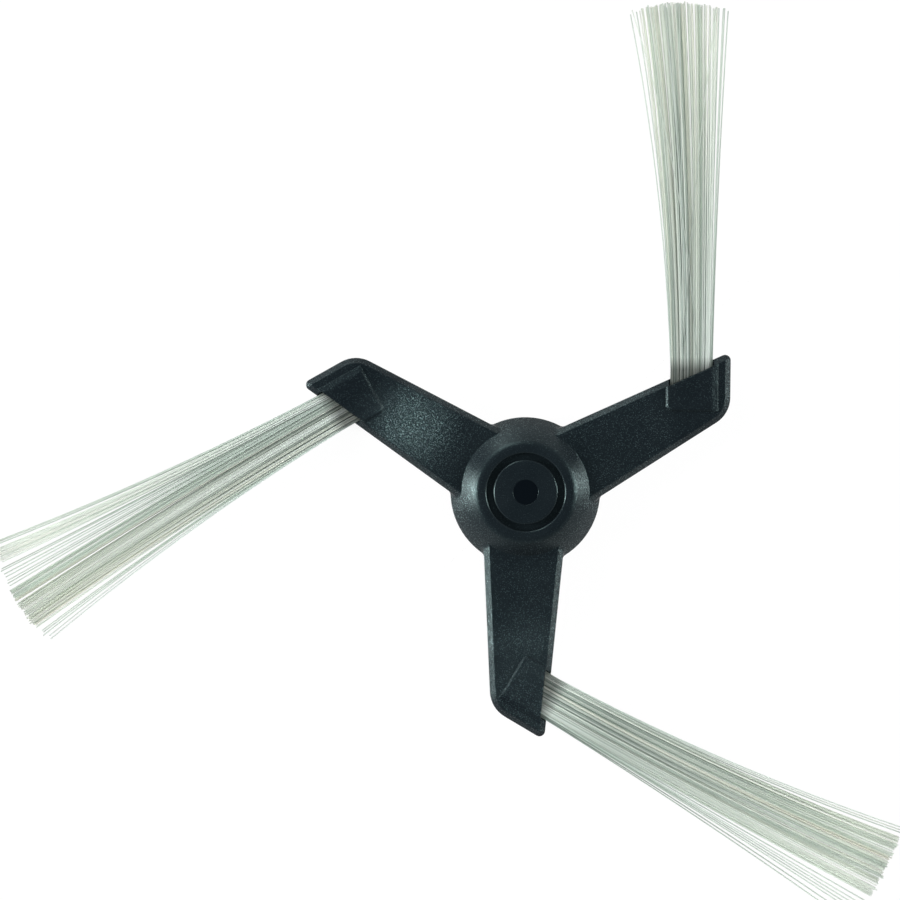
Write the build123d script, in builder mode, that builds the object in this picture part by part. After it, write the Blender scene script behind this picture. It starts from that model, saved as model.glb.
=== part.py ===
"""Side brush of a robot vacuum: a moulded hub with three arms, and a fan of bristles in each arm.

The brush lies with its drive boss down on z = 0 and its floor side up. The hub's axis is +Z through
the origin. All sizes are in millimetres and all angles in degrees.
"""
from build123d import *
from math import asin, atan2, cos, degrees, hypot, radians, sin, tan
import os

os.makedirs("parts", exist_ok=True)

# Slack for choosing edges by their place
small = 0.05

# Arms round the hub
arm_count = 3
first_arm_angle = 30
arm_angles = [first_arm_angle + 360 / arm_count * place for place in range(arm_count)]

# Bell of the hub: above a short upright edge its flank bulges a little, then rounds over to a crown
underside_z = 2.8
skirt_edge = 0.8
skirt_z = underside_z + skirt_edge
hub_radius = 12.5
foot_slope = 56
shoulder_slope = 46
flank_rounding = 35.7
crown_rounding = 1.5

# Screw seat in the crown, inside a ring groove with eased edges
screw_radius = 2.1
seat_radius = 5.35
groove_radius = 6.52
groove_depth = 1.1
ring_ease = 0.2
ring_drop = 0.15

# Hollow back of the hub, with the drive boss and three ribs in it
boss_radius = 6.3
boss_chamfer = 0.4
socket_width = 5.4
socket_depth = 5.6
socket_corner = 0.4
hollow_foot_radius = 10.9
hollow_foot_z = 3.2
hollow_roof_radius = 8.2
hollow_roof_z = 6.5
rib_width = 1.4
rib_top_z = 5.0
rib_reach = 11.2

# Arm: it narrows outward, and its end is cut along the bristles
arm_start = 8.0
arm_root_radius = 10.65
arm_length = 38.87
half_width_at_axis = 7.38
arm_taper = 4.19
edge_fall = tan(radians(arm_taper))
bristle_angle = 61
bevel_width = 0.9
bevel_slope = 50
bevel_height = bevel_width * tan(radians(bevel_slope))
tip_rounding = 0.95
heel_rounding = 5.0
root_fillet = 1.0

# Core taken out of the arm's back
core_start = 14.0
core_end = 25.5
core_wall = 1.7
core_depth = 1.3
core_rounding = 0.8

# Tuft pocket in the arm's end, under a raised pad
exit_x = 34.1
exit_z = 4.6
tuft_tilt = 5
tuft_width = 7.0
tuft_thickness = 1.5
pocket_depth = 5.5
notch_reach = 6.0
notch_height = 4.0
notch_clearance = 0.2
pad_back = 7.04
pad_hub_side = 4.2
pad_tip_side = 4.4
pad_height = 0.35
pad_corner = 1.0
pad_bevel_width = 0.32
pad_bevel_height = 0.27
pad_end_fall = 1.0

# Bristles: rows across the tuft and layers through it, spread into a fan, one fan for each arm
strand_width = 0.26
strand_rows = 16
strand_layers = 4
strand_anchor = 1.0
free_length = 60.5
bend_share = 0.45
ragged_length = 1.3
ragged_step = 17.0
root_clearance = 0.3
tip_thickness = 4.4
tip_widths = (14.0, 16.2, 15.6)
tip_drifts = (2.1, 0.6, 3.7)


def flank_height(radius):
    """Height of the bell's flank above its foot, at a distance from the hub's axis."""
    foot = radians(foot_slope)
    here = asin(sin(foot) - (hub_radius - radius) / flank_rounding)
    return flank_rounding * (cos(here) - cos(foot))


# The arms' flat tops meet the flank at their root radius
arm_top_z = skirt_z + flank_height(arm_root_radius)
arm_thickness = arm_top_z - underside_z


def half_width(x):
    """Half of the arm's width at a distance from the hub's axis."""
    return half_width_at_axis - x * edge_fall


# The bristles cross the arm's long edge at this angle
exit_angle = bristle_angle + arm_taper
exit_y = half_width(exit_x)
lip_setback = bevel_width / sin(radians(exit_angle))
lip_skew = 1 / tan(radians(exit_angle))

# Corners of the arm's slanted end
end_run = 1 / tan(radians(bristle_angle))
end_half_width = half_width(arm_length)
tip_y = end_half_width / (1 + end_run * edge_fall)
heel_y = -end_half_width / (1 - end_run * edge_fall)


def end_x(y):
    """Where the slanted end lies along the arm, for a place across it."""
    return arm_length + y * end_run


def lip(y):
    """Where the pad's lip lies along the bristles, for a place across the tuft."""
    return -lip_setback - y * lip_skew


def pocket_plan(clearance):
    """Plan of the tuft's pocket, from its back wall to the lip or a little short of it."""
    side = tuft_width / 2
    return [
        (-pocket_depth, side),
        (lip(side) - clearance, side),
        (lip(-side) - clearance, -side),
        (-pocket_depth, -side),
    ]


def tuft_plane(arm_angle, z, tilt):
    """Plane at a tuft's exit: x along the bristles, y to their left."""
    swing = radians(arm_angle)
    heading = radians(arm_angle + bristle_angle)
    lean = radians(tilt)
    exit_point = (
        exit_x * cos(swing) - exit_y * sin(swing),
        exit_x * sin(swing) + exit_y * cos(swing),
        z,
    )
    along = (cos(heading) * cos(lean), sin(heading) * cos(lean), sin(lean))
    normal = (-cos(heading) * sin(lean), -sin(heading) * sin(lean), cos(lean))
    return Plane(origin=exit_point, x_dir=along, z_dir=normal)


def at_arm_root(edge):
    """True for the edges where an arm's flank meets the bell."""
    middle = edge.center()
    reach = hypot(middle.X, middle.Y)
    if edge.geom_type == GeomType.CIRCLE or not underside_z + small < middle.Z < arm_top_z - small:
        return False
    return arm_root_radius < reach < hub_radius + small


# One arm, along +X
with BuildPart() as arm:
    with BuildSketch(Plane.XY.offset(underside_z)) as arm_plan:
        with BuildLine():
            Polyline(
                (arm_start, half_width(arm_start)),
                (end_x(tip_y), tip_y),
                (end_x(heel_y), heel_y),
                (arm_start, -half_width(arm_start)),
                close=True,
            )
        make_face()
        fillet(arm_plan.vertices().sort_by(Axis.X)[-1], tip_rounding)
        fillet(arm_plan.vertices().sort_by(Axis.Y)[1], heel_rounding)
    extrude(amount=arm_thickness)
    top_face = arm.faces().sort_by(Axis.Z)[-1]
    rim = top_face.edges().sort_by(Axis.X)[1:]
    chamfer(rim, length=bevel_width, length2=bevel_height, reference=top_face)

    # Low pad over the pocket: it falls off gently to the arm's end and has a narrow bevel towards the hub
    with BuildSketch(tuft_plane(0, arm_top_z, 0)) as pad_plan:
        with BuildLine():
            Polyline(
                (-pad_back, pad_hub_side),
                (lip(pad_hub_side), pad_hub_side),
                (lip(-pad_tip_side), -pad_tip_side),
                (-pad_back, -pad_tip_side),
                close=True,
            )
        make_face()
        fillet(pad_plan.vertices().group_by(Axis.X)[0].sort_by(Axis.Y)[-1], pad_corner)
    extrude(amount=pad_height)
    pad_top = arm.faces().sort_by(Axis.Z)[-1]
    pad_end = pad_top.edges().sort_by(Axis.X)[-1]
    chamfer(pad_end, length=pad_end_fall, length2=pad_bevel_height, reference=pad_top)
    pad_top = arm.faces().sort_by(Axis.Z)[-1]
    pad_rim = pad_top.edges().sort_by(Axis.X)[:-2]
    chamfer(pad_rim, length=pad_bevel_width, length2=pad_bevel_height, reference=pad_top)

    # Pocket for the tuft's root, and the notch in the arm's edge that the bristles leave by
    with BuildSketch(tuft_plane(0, exit_z, tuft_tilt).offset(-tuft_thickness / 2)):
        Polygon(*pocket_plan(0), align=None)
    extrude(amount=tuft_thickness, mode=Mode.SUBTRACT)
    notch_side = tuft_width / 2 + notch_clearance
    with BuildSketch(tuft_plane(0, exit_z, tuft_tilt).offset(-tuft_thickness / 2 - notch_clearance)):
        Polygon(
            (lip(notch_side), notch_side),
            (notch_reach, notch_side),
            (notch_reach, -notch_side),
            (lip(-notch_side), -notch_side),
            align=None,
        )
    extrude(amount=notch_height, mode=Mode.SUBTRACT)

    # Core in the arm's back
    with BuildSketch(Plane.XY.offset(underside_z)) as core_plan:
        with BuildLine():
            Polyline(
                (core_start, half_width(core_start) - core_wall),
                (core_end, half_width(core_end) - core_wall),
                (core_end, core_wall - half_width(core_end)),
                (core_start, core_wall - half_width(core_start)),
                close=True,
            )
        make_face()
        fillet(core_plan.vertices(), core_rounding)
    extrude(amount=core_depth, mode=Mode.SUBTRACT)

# Hub with its arms, one moulding
with BuildPart() as three_arm_hub:
    with BuildSketch(Plane.XZ):
        with BuildLine():
            Polyline((0, underside_z), (hub_radius, underside_z), (hub_radius, skirt_z))
            uphill = (-cos(radians(foot_slope)), sin(radians(foot_slope)))
            flank = JernArc((hub_radius, skirt_z), uphill, flank_rounding, foot_slope - shoulder_slope)
            shoulder = JernArc(flank @ 1, flank % 1, crown_rounding, shoulder_slope)
            crown_z = (shoulder @ 1).Y
            Polyline(shoulder @ 1, (0, crown_z), (0, underside_z))
        make_face()
    revolve(axis=Axis.Z)
    with PolarLocations(0, arm_count, start_angle=first_arm_angle):
        add(arm.part)
    fillet(three_arm_hub.edges().filter_by(at_arm_root), root_fillet)

    # Hollow under the bell, round the boss
    with BuildSketch(Plane.XZ):
        with BuildLine():
            Polyline(
                (boss_radius, underside_z),
                (hollow_foot_radius, underside_z),
                (hollow_foot_radius, hollow_foot_z),
                (hollow_roof_radius, hollow_roof_z),
                (boss_radius, hollow_roof_z),
                close=True,
            )
        make_face()
    revolve(axis=Axis.Z, mode=Mode.SUBTRACT)

    # Ribs from the boss to the skirt, in line with the arms
    with BuildSketch(Plane.XY.offset(underside_z)):
        with PolarLocations(rib_reach / 2, arm_count, start_angle=first_arm_angle):
            Rectangle(rib_reach, rib_width)
    extrude(amount=rib_top_z - underside_z)

    # Drive boss with its square socket
    with BuildSketch():
        Circle(boss_radius)
    extrude(amount=hollow_roof_z)
    chamfer(three_arm_hub.faces().sort_by(Axis.Z)[0].edges(), boss_chamfer)
    with BuildSketch():
        RectangleRounded(socket_width, socket_width, socket_corner)
    extrude(amount=socket_depth, mode=Mode.SUBTRACT)

    # Ring groove round the screw seat, and the screw hole
    with BuildSketch(Plane.XZ):
        with BuildLine():
            Polyline(
                (seat_radius - ring_ease, crown_z),
                (seat_radius, crown_z - ring_drop),
                (seat_radius, crown_z - groove_depth),
                (groove_radius, crown_z - groove_depth),
                (groove_radius, crown_z - ring_drop),
                (groove_radius + ring_ease, crown_z),
                close=True,
            )
        make_face()
    revolve(axis=Axis.Z, mode=Mode.SUBTRACT)
    with Locations((0, 0, crown_z)):
        Hole(screw_radius)

three_arm_hub.part.label = "three_arm_hub"
export_step(three_arm_hub.part, "parts/three_arm_hub.step")


def strand_outline(row, layer, tip_width, drift):
    """Plan of one bristle in its layer: from its root, past a slight bend, to its tip."""
    across = (row + (layer + 0.5) / strand_layers) / strand_rows - 0.5
    root_y = across * (tuft_width - 2 * strand_width)
    tip_y = across * tip_width + drift
    bend_y = root_y + (across * tip_width - root_y) * bend_share + drift * bend_share**2
    ragged = ragged_length * sin(ragged_step * (row + strand_rows * layer))
    middle = (
        (lip(root_y) - root_clearance - strand_anchor, root_y),
        (free_length * bend_share, bend_y),
        (free_length + ragged, tip_y),
    )
    half = strand_width / 2
    return [(x, y + half) for x, y in middle] + [(x, y - half) for x, y in reversed(middle)]


# Bristle tufts: a bonded root block that fills its pocket, and layers of bristles that stand in it
for place, arm_angle in enumerate(arm_angles):
    plane = tuft_plane(arm_angle, exit_z, tuft_tilt)
    with BuildPart() as tuft:
        with BuildSketch(plane.offset(-tuft_thickness / 2)):
            Polygon(*pocket_plan(root_clearance), align=None)
        extrude(amount=tuft_thickness)
        for layer in range(strand_layers):
            through = (layer + 0.5) / strand_layers - 0.5
            root_z = through * (tuft_thickness - strand_width)
            spread = degrees(atan2(through * tip_thickness - root_z, free_length))
            layer_plane = tuft_plane(arm_angle, exit_z, tuft_tilt + spread).offset(root_z)
            with BuildSketch(layer_plane):
                for row in range(strand_rows):
                    outline = strand_outline(row, layer, tip_widths[place], tip_drifts[place])
                    Polygon(*outline, align=None)
            extrude(amount=strand_width / 2, both=True)
    tuft.part.label = f"bristle_tuft_{place + 1}"
    export_step(tuft.part, f"parts/bristle_tuft_{place + 1}.step")
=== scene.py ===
"""Looks of the robot vacuum side brush: grained black plastic and three fans of pale nylon bristles.

Lengths are in metres. The brush lies on its drive boss, with its floor side up to the camera.
"""
from collections import namedtuple
from math import cos, pi, radians, sin

import bpy
import numpy as np
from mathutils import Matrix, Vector


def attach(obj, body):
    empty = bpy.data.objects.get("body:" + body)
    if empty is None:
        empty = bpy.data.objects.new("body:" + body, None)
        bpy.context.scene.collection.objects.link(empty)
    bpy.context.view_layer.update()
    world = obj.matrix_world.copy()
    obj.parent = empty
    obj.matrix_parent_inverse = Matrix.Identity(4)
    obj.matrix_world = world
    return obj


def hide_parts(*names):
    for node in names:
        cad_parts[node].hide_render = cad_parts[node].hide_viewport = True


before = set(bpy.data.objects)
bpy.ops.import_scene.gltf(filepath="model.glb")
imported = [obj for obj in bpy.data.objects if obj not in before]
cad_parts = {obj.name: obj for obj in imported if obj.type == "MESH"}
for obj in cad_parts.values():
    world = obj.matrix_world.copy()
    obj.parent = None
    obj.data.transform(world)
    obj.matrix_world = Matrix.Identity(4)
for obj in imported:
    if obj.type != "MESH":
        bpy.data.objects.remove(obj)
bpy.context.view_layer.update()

mm = 0.001

# Where the bristles leave the arms, as in the part's source
exit_reach = 34.1 * mm
exit_side = 4.88 * mm
exit_height = 4.6 * mm
bristle_angle = 61
tuft_tilt = 5

# Bristles: they leave the arm in locks that hold together to their tips
strand_radius = 0.1 * mm
strand_sides = 6
strand_steps = 12
root_depth = 5.0 * mm
root_half_thickness = 0.6 * mm
tip_half_thickness = 2.0 * mm
ragged_end = 0.22 * mm
bend_at_root = 0.34
bend_swing = 0.06
lock_size = 7
lock_pull = 0.04
lock_stray = 0.12 * mm
strand_stray = 0.17 * mm
place_swing = 0.4
wander = 0.02 * mm

# Chance values of the locks that aren't in a fan's body: the side locks are pale, the strays grey
few_locks = 3
pale_lock = 0.45
stray_lock = 0.0

# A fan: its arm, its longest bristles and where across it they end, how far its cut edge falls off
Fan = namedtuple("Fan", "arm_angle length peak fall bands")
# Some bristles of a fan, in millimetres across it to the left: where they leave the arm and where they end
Band = namedtuple("Band", "count root_from root_to tip_from tip_to")
fans = (
    Fan(30, 60.8, 2.0, 0.02, (
        Band(102, -2.1, 3.4, -1.6, 9.4),
        Band(14, -3.0, -2.1, -3.2, -2.1),
        Band(4, -3.45, -3.0, -5.2, -3.6),
        Band(2, 3.2, 3.45, 9.9, 11.4),
        Band(6, 0.2, 0.7, 4.6, 5.6),
        Band(6, 1.5, 2.0, 3.0, 3.9),
        Band(1, -1.0, -1.0, 10.9, 10.9),
        Band(1, 1.45, 1.45, -3.1, -3.1),
    )),
    Fan(150, 61.9, 1.0, 0.02, (
        Band(96, -1.8, 3.2, 0.0, 7.3),
        Band(18, -3.1, -2.2, -7.6, -5.0),
        Band(7, -2.4, -1.8, -4.4, -0.7),
        Band(3, -3.45, -3.1, -8.6, -7.8),
        Band(5, 3.1, 3.45, 7.9, 10.4),
    )),
    Fan(270, 62.6, 1.0, 0.01, (
        Band(92, -1.9, 3.2, 1.1, 9.9),
        Band(18, -2.8, -1.9, -1.3, 0.7),
        Band(3, 2.9, 3.45, 10.3, 11.7),
        Band(7, -3.45, -2.7, -6.6, -1.6),
    )),
)

# Plastic: distances are from the hub's axis, scales are in cells to the metre
grain_scale = 5200
grain_depth = 0.1 * mm
cloud_scale = 160
crown_reach = 7.2 * mm
flank_reach = 13 * mm
crown_grain = 0.35
grain_span = (0.3, 0.7)
gloss_range = (0.21, 0.29)
speck_heights = (0.02, 0.2)
speck_shine = (0.13, 0.72)
arm_reach = 25.5 * mm
pad_reach = 28 * mm
pad_shine = 0.55
ring_reach = 8.4 * mm
bell_reach = 9.6 * mm
ring_edge = 0.12 * mm
other_edge = 0.26 * mm

# Nylon, in shares of the steps from a bristle's anchored end to its tip: the first step ends at the lip
# The painted shade at the roots gives way to the tips' colour between these shares
root_share = 0.1
tip_share = 0.9
# Painted shadow under the lip: darkest up to the lip, gone just past it
lip_share = 0.083
past_lip_share = 0.115
lip_shade = 0.4

# Table's painted shade: how open to the room it has to be to look white, and how wide the drive boss has it
# painted dark
floor_size = 6
contact_distance = 7 * mm
closed_share = 0.15
open_share = 0.4
boss_inside = 5 * mm
boss_outside = 6 * mm

# Lamps: the low ones light the bell's flank, the upper ones its rounding and edges, but not the bristles
Softbox = namedtuple("Softbox", "name place width height power")
plastic_softboxes = (
    Softbox("left_softbox", (-0.55, 0.0, 0.056), 0.17, 0.1, 6.2),
    Softbox("right_softbox", (0.54, 0.095, 0.056), 0.15, 0.1, 2.6),
    Softbox("back_softbox", (-0.24, 0.49, 0.056), 0.2, 0.1, 0.6),
    Softbox("upper_left_softbox", (-0.5, 0.0, 0.27), 0.17, 0.22, 3.4),
    Softbox("upper_right_softbox", (0.49, 0.087, 0.27), 0.15, 0.22, 2.0),
    Softbox("upper_back_softbox", (-0.22, 0.45, 0.27), 0.2, 0.22, 1.4),
)
bristle_softbox = Softbox("bristle_softbox", (0.0, 0.0, 0.8), 0.6, 0.6, 5.0)
# Small lamps over two arms, with the angle of their cones
Spot = namedtuple("Spot", "name place cone power")
spots = (
    Spot("left_arm_spot", (-0.0196, 0.011, 0.066), 16, 0.135),
    Spot("low_arm_spot", (0.002, -0.0326, 0.066), 26, 0.05),
)
spot_radius = 3 * mm

# Photograph: 150 mm across its square frame, seen from straight above, turned a little
view_width = 150 * mm
view_turn = 1.7
view_centre = (-12.78 * mm, 6.63 * mm)
view_level = 6 * mm
lens_length = 200
sensor_width = 36


def new_material(name):
    """A node material, with its tree and its main shader."""
    material = bpy.data.materials.new(name)
    material.use_nodes = True
    tree = material.node_tree
    return material, tree, tree.nodes["Principled BSDF"]


def add_node(tree, kind, **settings):
    """A new node, with its own settings and the values of its sockets."""
    node = tree.nodes.new(kind)
    for key, value in settings.items():
        if key in node.inputs:
            node.inputs[key].default_value = value
        else:
            setattr(node, key, value)
    return node


def colour_ramp(tree, source, *stops):
    """Colours by a value: each stop has a position and a colour."""
    node = add_node(tree, "ShaderNodeValToRGB")
    elements = node.color_ramp.elements
    while len(elements) < len(stops):
        elements.new(0.5)
    for element, (position, colour) in zip(elements, stops):
        element.position = position
        element.color = (*colour, 1)
    tree.links.new(source, node.inputs["Fac"])
    return node.outputs["Color"]


def map_range(tree, source, start, end, low=0.0, high=1.0):
    """A value taken from one range to another, and kept inside it."""
    limits = {"From Min": start, "From Max": end, "To Min": low, "To Max": high}
    node = add_node(tree, "ShaderNodeMapRange", **limits)
    tree.links.new(source, node.inputs["Value"])
    return node.outputs["Result"]


def combine(tree, operation, first, second):
    """The result of an operation on two values."""
    node = add_node(tree, "ShaderNodeMath", operation=operation)
    tree.links.new(first, node.inputs[0])
    tree.links.new(second, node.inputs[1])
    return node.outputs["Value"]


def axis_distance(tree, place):
    """The distance from the hub's axis."""
    flat = add_node(tree, "ShaderNodeVectorMath", operation="MULTIPLY")
    flat.inputs[1].default_value = (1, 1, 0)
    tree.links.new(place, flat.inputs[0])
    distance = add_node(tree, "ShaderNodeVectorMath", operation="LENGTH")
    tree.links.new(flat.outputs["Vector"], distance.inputs[0])
    return distance.outputs["Value"]


def noise(tree, place, **settings):
    """Seamless noise through the solid."""
    node = add_node(tree, "ShaderNodeTexNoise", **settings)
    tree.links.new(place, node.inputs["Vector"])
    return node.outputs["Fac"]


def grained_plastic():
    """Black moulded plastic: a fine spark-eroded grain with bright specks, and softened edges."""
    material, tree, shader = new_material("grained_black_plastic")
    place = add_node(tree, "ShaderNodeTexCoord").outputs["Object"]
    reach = axis_distance(tree, place)
    grain = noise(tree, place, Scale=grain_scale, Detail=1.5, Roughness=0.5)
    cloud = noise(tree, place, Scale=cloud_scale, Detail=2)
    colour = colour_ramp(tree, cloud, (0.3, (0.0035, 0.0053, 0.0069)), (0.7, (0.0052, 0.0075, 0.0092)))
    tree.links.new(colour, shader.inputs["Base Color"])
    gloss = map_range(tree, grain, *grain_span, *gloss_range)
    tree.links.new(gloss, shader.inputs["Roughness"])

    # The crown round the screw seat is smoother than the rest, and the pads over the pockets are duller
    coarse = map_range(tree, reach, crown_reach, flank_reach, crown_grain)
    middle = add_node(tree, "ShaderNodeMath", operation="SUBTRACT")
    middle.inputs[1].default_value = 0.5
    tree.links.new(grain, middle.inputs[0])
    height = combine(tree, "MULTIPLY", middle.outputs["Value"], coarse)
    glint = map_range(tree, height, *speck_heights, *speck_shine)
    dull = map_range(tree, reach, arm_reach, pad_reach, 1.0, pad_shine)
    shine = combine(tree, "MULTIPLY", glint, dull)
    tree.links.new(shine, shader.inputs["Specular IOR Level"])
    shader.inputs["Specular Tint"].default_value = (0.66, 1, 0.985, 1)

    # The rings in the crown have crisper edges
    softness = map_range(tree, reach, ring_reach, bell_reach, ring_edge, other_edge)
    edge = add_node(tree, "ShaderNodeBevel", samples=8)
    tree.links.new(softness, edge.inputs["Radius"])
    bump = add_node(tree, "ShaderNodeBump", Distance=grain_depth)
    tree.links.new(coarse, bump.inputs["Strength"])
    tree.links.new(grain, bump.inputs["Height"])
    tree.links.new(edge.outputs["Normal"], bump.inputs["Normal"])
    tree.links.new(bump.outputs["Normal"], shader.inputs["Normal"])
    return material


def nylon():
    """Pale translucent nylon: grey-green bristles with painted shade towards their roots, nearly black there
    on a random few, and some locks warmer.
    """
    material, tree, shader = new_material("pale_nylon")
    chance = add_node(tree, "ShaderNodeNewGeometry").outputs["Random Per Island"]
    tip_tint = colour_ramp(
        tree, chance,
        (0.0, (0.70, 0.76, 0.68)),
        (0.25, (0.86, 0.92, 0.84)),
        (0.7, (0.90, 0.95, 0.88)),
        (0.9, (0.90, 0.92, 0.84)),
        (1.0, (0.95, 0.98, 0.94)),
    )
    # Painted shade: darker root colours, almost black for a random few bristles, fading out towards the tips
    root_tint_and_painted_shade = colour_ramp(
        tree, chance,
        (0.0, (0.14, 0.18, 0.16)),
        (0.22, (0.44, 0.51, 0.46)),
        (0.36, (0.78, 0.85, 0.78)),
        (1.0, (0.88, 0.95, 0.90)),
    )

    # Across the map lies a lock's own chance value, along it the way from root to tip
    place = add_node(tree, "ShaderNodeUVMap")
    parts = add_node(tree, "ShaderNodeSeparateXYZ")
    tree.links.new(place.outputs["UV"], parts.inputs["Vector"])
    lock_tint = colour_ramp(
        tree, parts.outputs["X"],
        (0.0, (0.76, 0.80, 0.78)),
        (0.2, (0.87, 0.91, 0.88)),
        (0.4, (1.0, 1.0, 1.0)),
        (0.75, (0.98, 0.98, 0.96)),
        (1.0, (0.92, 0.89, 0.84)),
    )
    strands = add_node(tree, "ShaderNodeMix", data_type="RGBA")
    along = map_range(tree, parts.outputs["Y"], root_share, tip_share)
    tree.links.new(along, strands.inputs["Factor"])
    tree.links.new(root_tint_and_painted_shade, strands.inputs["A"])
    tree.links.new(tip_tint, strands.inputs["B"])
    locks = add_node(tree, "ShaderNodeVectorMath", operation="MULTIPLY")
    tree.links.new(strands.outputs["Result"], locks.inputs[0])
    tree.links.new(lock_tint, locks.inputs[1])

    # Painted shadow: darker where they come out from under the arm's lip
    colour = add_node(tree, "ShaderNodeVectorMath", operation="SCALE")
    shade = map_range(tree, parts.outputs["Y"], lip_share, past_lip_share, lip_shade)
    tree.links.new(locks.outputs["Vector"], colour.inputs["Vector"])
    tree.links.new(shade, colour.inputs["Scale"])
    tree.links.new(colour.outputs["Vector"], shader.inputs["Base Color"])

    shader.inputs["Roughness"].default_value = 0.35
    shader.inputs["IOR"].default_value = 1.15
    shader.inputs["Transmission Weight"].default_value = 0.45
    return material


def tuft_axes(arm_angle):
    """A tuft's exit from its arm, and its directions: along, across to the left, and up through it."""
    swing = radians(arm_angle)
    heading = radians(arm_angle + bristle_angle)
    lean = radians(tuft_tilt)
    start = Vector((
        exit_reach * cos(swing) - exit_side * sin(swing),
        exit_reach * sin(swing) + exit_side * cos(swing),
        exit_height,
    ))
    along = Vector((cos(heading) * cos(lean), sin(heading) * cos(lean), sin(lean)))
    across = Vector((-sin(heading), cos(heading), 0))
    return np.array(start), np.array(along), np.array(across), np.array(along.cross(across))


def strand_paths(fan, draw):
    """A fan's bristles: each one's middle line along, across and up through the fan, and its lock's value."""
    steps = np.linspace(0, 1, strand_steps)
    strands = []
    for band in fan.bands:
        in_locks = band.count > lock_size
        locks = max(1, round(band.count / lock_size))
        strays = draw.normal(0, 1, locks) * lock_stray
        bows = bend_at_root + draw.uniform(-bend_swing, bend_swing, locks)
        values = np.full(locks, stray_lock if 1 < band.count <= lock_size else pale_lock)
        if locks > few_locks:
            values = draw.uniform(0, 1, locks)
        for place in range(band.count):
            share = (place + 0.5 + draw.uniform(-place_swing, place_swing)) / band.count
            lock = int(share * locks)
            if in_locks:
                share += lock_pull * ((lock + 0.5) / locks - share)
            root = (band.root_from + share * (band.root_to - band.root_from)) * mm
            tip = (band.tip_from + share * (band.tip_to - band.tip_from)) * mm
            if in_locks:
                tip += strays[lock] + draw.normal(0, 1) * strand_stray
            level = draw.uniform(-1, 1) if band.count > 1 else 1
            cut = (fan.length - fan.fall * (tip / mm - fan.peak) ** 2) * mm
            length = cut + draw.normal(0, 1) * ragged_end
            curve = bows[lock] * steps + (1 - bows[lock]) * steps**2
            wave = draw.normal(0, 1) * wander * np.sin(pi * steps) ** 2
            side = root + (tip - root) * curve + wave
            rise = level * (root_half_thickness + (tip_half_thickness - root_half_thickness) * curve)
            anchored = (-root_depth, root, level * root_half_thickness)
            free = np.column_stack([length * steps, side, rise])
            strands.append((np.vstack([anchored, free]), values[lock]))
    return strands


def bristle_fan(name, fan, seed, material):
    """One tuft: round bristles that start in the arm's pocket and spread to a cut edge."""
    start, along, across, up = tuft_axes(fan.arm_angle)
    turns = np.linspace(0, 2 * pi, strand_sides, endpoint=False)
    ring = strand_radius * (np.outer(np.cos(turns), across) + np.outer(np.sin(turns), up))
    corners = []
    marks = []
    faces = []
    for path, value in strand_paths(fan, np.random.default_rng(seed)):
        first = len(corners)
        line = start + path @ np.array([along, across, up])
        for step, point in enumerate(line):
            corners.extend((point + ring).tolist())
            marks.extend([(value, step / strand_steps)] * strand_sides)
        for step in range(len(line) - 1):
            low = first + step * strand_sides
            high = low + strand_sides
            for side in range(strand_sides):
                beside = (side + 1) % strand_sides
                faces.append((low + side, low + beside, high + beside, high + side))
        last = first + (len(line) - 1) * strand_sides
        faces.append(tuple(range(last, last + strand_sides)))
        faces.append(tuple(reversed(range(first, first + strand_sides))))
    mesh = bpy.data.meshes.new(name)
    mesh.from_pydata(corners, [], faces)
    mesh.shade_smooth()
    places = mesh.uv_layers.new(name="strand_map")
    for loop in mesh.loops:
        places.uv[loop.index].vector = marks[loop.vertex_index]
    mesh.materials.append(material)
    piece = bpy.data.objects.new(name, mesh)
    bpy.context.scene.collection.objects.link(piece)
    return piece


def add_floor():
    """A white table with a soft shadow, partly cast and partly painted where it is closed in, that shows
    white to the camera and in reflections.
    """
    bpy.ops.mesh.primitive_plane_add(size=floor_size)
    floor = bpy.context.object
    floor.name = "floor"
    material, tree, shader = new_material("white_table")
    shader.inputs["Roughness"].default_value = 0.9
    shader.inputs["Specular IOR Level"].default_value = 0

    # Painted shade: dark close under the brush, and inside the drive boss, where no light would reach the
    # table
    hidden = add_node(tree, "ShaderNodeAmbientOcclusion", samples=8, Distance=contact_distance)
    clear = map_range(tree, hidden.outputs["AO"], closed_share, open_share)
    place = add_node(tree, "ShaderNodeTexCoord").outputs["Object"]
    outside = map_range(tree, axis_distance(tree, place), boss_inside, boss_outside)
    lit = combine(tree, "MULTIPLY", clear, outside)
    white_and_painted_shade = colour_ramp(tree, lit, (0.0, (0.008, 0.008, 0.008)), (1.0, (0.97, 0.97, 0.97)))
    tree.links.new(white_and_painted_shade, shader.inputs["Base Color"])

    path = add_node(tree, "ShaderNodeLightPath")
    seen = combine(tree, "MAXIMUM", path.outputs["Is Camera Ray"], path.outputs["Is Glossy Ray"])
    seen = combine(tree, "MAXIMUM", seen, path.outputs["Is Transmission Ray"])
    share = combine(tree, "MULTIPLY", seen, white_and_painted_shade)
    white = add_node(tree, "ShaderNodeEmission", Strength=1)
    # Painted shade: where the table is closed in, its white glow turns blue before it goes dark
    glow_and_painted_shade = colour_ramp(tree, lit, (0.0, (0.42, 0.70, 1.0)), (0.2, (1.0, 1.0, 1.0)))
    tree.links.new(glow_and_painted_shade, white.inputs["Color"])
    mix = add_node(tree, "ShaderNodeMixShader")
    tree.links.new(share, mix.inputs["Fac"])
    tree.links.new(shader.outputs["BSDF"], mix.inputs[1])
    tree.links.new(white.outputs["Emission"], mix.inputs[2])
    tree.links.new(mix.outputs["Shader"], tree.nodes["Material Output"].inputs["Surface"])
    floor.data.materials.append(material)


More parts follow.
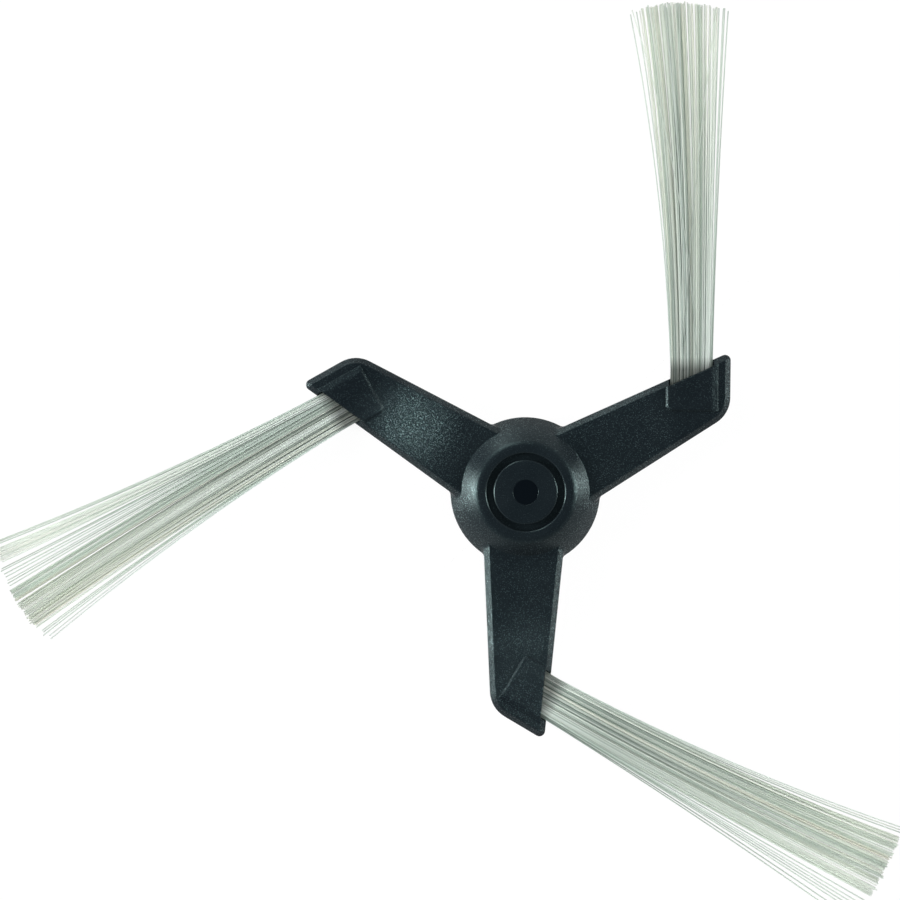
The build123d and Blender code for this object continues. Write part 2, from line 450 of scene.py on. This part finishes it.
def add_world():
    """Soft room light: dim overhead and brighter round the sides, white where the camera sees it."""
    world = bpy.data.worlds.new("studio")
    bpy.context.scene.world = world
    world.use_nodes = True
    tree = world.node_tree
    place = add_node(tree, "ShaderNodeTexCoord")
    parts = add_node(tree, "ShaderNodeSeparateXYZ")
    tree.links.new(place.outputs["Generated"], parts.inputs["Vector"])
    room = colour_ramp(
        tree, parts.outputs["Z"],
        (0.0, (1.0, 1.0, 1.0)),
        (0.45, (0.9, 0.9, 0.9)),
        (0.75, (0.40, 0.42, 0.46)),
    )
    path = add_node(tree, "ShaderNodeLightPath")
    colour = add_node(tree, "ShaderNodeMix", data_type="RGBA")
    tree.links.new(path.outputs["Is Camera Ray"], colour.inputs["Factor"])
    tree.links.new(room, colour.inputs["A"])
    colour.inputs["B"].default_value = (1, 1, 1, 1)
    tree.links.new(colour.outputs["Result"], tree.nodes["Background"].inputs["Color"])


def add_softbox(softbox, receivers):
    """A soft rectangular lamp that faces the hub and lights what a collection lets it light."""
    data = bpy.data.lights.new(softbox.name, "AREA")
    data.shape = "RECTANGLE"
    data.size = softbox.width
    data.size_y = softbox.height
    data.energy = softbox.power
    lamp = bpy.data.objects.new(softbox.name, data)
    lamp.location = softbox.place
    lamp.rotation_euler = (-Vector(softbox.place)).to_track_quat("-Z", "Y").to_euler()
    lamp.visible_camera = False
    lamp.light_linking.receiver_collection = receivers
    bpy.context.scene.collection.objects.link(lamp)


def add_spot(spot):
    """A small lamp that shines straight down in a narrow, soft-edged cone."""
    data = bpy.data.lights.new(spot.name, "SPOT")
    data.spot_size = radians(spot.cone)
    data.spot_blend = 1
    data.shadow_soft_size = spot_radius
    data.energy = spot.power
    lamp = bpy.data.objects.new(spot.name, data)
    lamp.location = spot.place
    lamp.visible_camera = False
    bpy.context.scene.collection.objects.link(lamp)


def add_camera():
    """The photograph's view, straight down."""
    data = bpy.data.cameras.new("camera")
    data.lens = lens_length
    data.sensor_width = sensor_width
    camera = bpy.data.objects.new("camera", data)
    distance = view_width * lens_length / sensor_width
    camera.location = (*view_centre, view_level + distance)
    camera.rotation_euler = (0, 0, radians(view_turn))
    bpy.context.scene.collection.objects.link(camera)
    bpy.context.scene.camera = camera


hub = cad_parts["three_arm_hub"]
hub.data.materials.clear()
hub.data.materials.append(grained_plastic())

bristle_material = nylon()
only_bristles = bpy.data.collections.new("only_bristles")
all_but_bristles = bpy.data.collections.new("all_but_bristles")
for number, fan in enumerate(fans, start=1):
    piece = bristle_fan(f"bristle_fan_{number}", fan, number, bristle_material)
    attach(piece, "root")
    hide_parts(f"bristle_tuft_{number}")
    only_bristles.objects.link(piece)
    all_but_bristles.objects.link(piece)
for member in all_but_bristles.collection_objects:
    member.light_linking.link_state = "EXCLUDE"

add_floor()
add_world()
for softbox in plastic_softboxes:
    add_softbox(softbox, all_but_bristles)
add_softbox(bristle_softbox, only_bristles)
for spot in spots:
    add_spot(spot)
add_camera()

bpy.context.scene.view_settings.view_transform = "Standard"
